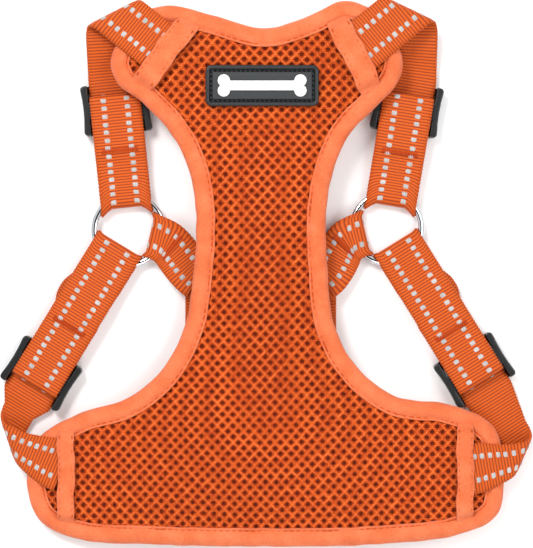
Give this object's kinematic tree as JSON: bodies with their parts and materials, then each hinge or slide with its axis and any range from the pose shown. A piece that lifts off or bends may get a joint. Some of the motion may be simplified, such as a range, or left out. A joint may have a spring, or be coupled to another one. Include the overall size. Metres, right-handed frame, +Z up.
{
  "type": "no pull dog harness",
  "caption": "Step-in no pull dog harness laid flat: padded mesh chest panel, adjustable reflective webbing straps, side rings and a back buckle.",
  "frame": {"origin": "on the surface it lies on, under the middle of its outline", "axes": "+Z up out of the chest panel's face (shortest), +Y towards the neck end (longest), +X to the right seen from above"},
  "size_m": [0.2666, 0.2729, 0.0205],
  "materials": {
    "air_mesh": "open air mesh with staggered round holes",
    "lining": "soft knitted lining",
    "foam": "soft foam core",
    "binding": "soft brushed edge binding",
    "webbing": "ribbed nylon webbing with reflective stitching",
    "moulded_plastic": "satin moulded",
    "ring_metal": "polished plating",
    "patch_rubber": "moulded matt rubber",
    "emblem_rubber": "moulded white rubber"
  },
  "bodies": {
    "shoulder_left_slider": {"shoulder_slider_left": "moulded_plastic", "shoulder_return_left": "webbing"},
    "shoulder_right_slider": {"shoulder_slider_right": "moulded_plastic", "shoulder_return_right": "webbing"},
    "girth_left_slider": {"girth_slider_left": "moulded_plastic", "girth_return_left": "webbing"},
    "girth_right_slider": {"girth_slider_right": "moulded_plastic", "girth_return_right": "webbing"},
    "o_ring_left_body": {"o_ring_left": "ring_metal"},
    "o_ring_right_body": {"o_ring_right": "ring_metal"},
    "plug_half": {"buckle_plug": "moulded_plastic"},
    "leash_ring_left_body": {"leash_ring_left": "ring_metal"},
    "leash_ring_right_body": {"leash_ring_right": "ring_metal"},
    "harness": {"panel_lining": "lining", "panel_foam": "foam", "mesh_face": "air_mesh", "edge_binding": "binding", "upper_band_left": "binding", "upper_band_right": "binding", "lower_band_left": "binding", "lower_band_right": "binding", "shoulder_strap_left": "webbing", "shoulder_strap_right": "webbing", "girth_strap_left": "webbing", "girth_strap_right": "webbing", "buckle_socket": "moulded_plastic", "back_strap_left": "webbing", "leash_tab_left": "webbing", "back_strap_right": "webbing", "leash_tab_right": "webbing", "patch": "patch_rubber", "patch_emblem": "emblem_rubber"}
  },
  "joints": [
    {"name": "shoulder_left_adjust", "type": "slide", "parent": "harness", "child": "shoulder_left_slider", "axis": [0.1011, -0.9949, 0], "range_m": [-0.004, 0.014], "deforming": ["shoulder_return_left"]},
    {"name": "shoulder_right_adjust", "type": "slide", "parent": "harness", "child": "shoulder_right_slider", "axis": [-0.1633, -0.9866, 0], "range_m": [-0.004, 0.014], "deforming": ["shoulder_return_right"]},
    {"name": "girth_left_adjust", "type": "slide", "parent": "harness", "child": "girth_left_slider", "axis": [0.521, 0.8536, 0], "range_m": [0, 0.02], "deforming": ["girth_return_left"]},
    {"name": "girth_right_adjust", "type": "slide", "parent": "harness", "child": "girth_right_slider", "axis": [-0.5255, 0.8508, 0], "range_m": [0, 0.02], "deforming": ["girth_return_right"]},
    {"name": "o_ring_left_spin", "type": "hinge", "parent": "harness", "child": "o_ring_left_body", "pos_m": [-0.06875, 0.0218, 0.00345], "axis": [0, 0, 1], "continuous": true},
    {"name": "o_ring_right_spin", "type": "hinge", "parent": "harness", "child": "o_ring_right_body", "pos_m": [0.0605, 0.0228, 0.00345], "axis": [0, 0, 1], "continuous": true},
    {"name": "buckle_release", "type": "slide", "parent": "harness", "child": "plug_half", "axis": [-1, 0, 0], "range_m": [0, 0.018], "deforming": ["back_strap_left"]},
    {"name": "leash_ring_left_swing", "type": "hinge", "parent": "harness", "child": "leash_ring_left_body", "pos_m": [-0.0323, -0.038, 0.00315], "axis": [1, 0, 0], "range_deg": [0, 150]},
    {"name": "leash_ring_right_swing", "type": "hinge", "parent": "harness", "child": "leash_ring_right_body", "pos_m": [0.027, -0.038, 0.00315], "axis": [1, 0, 0], "range_deg": [0, 150]}
  ]
}
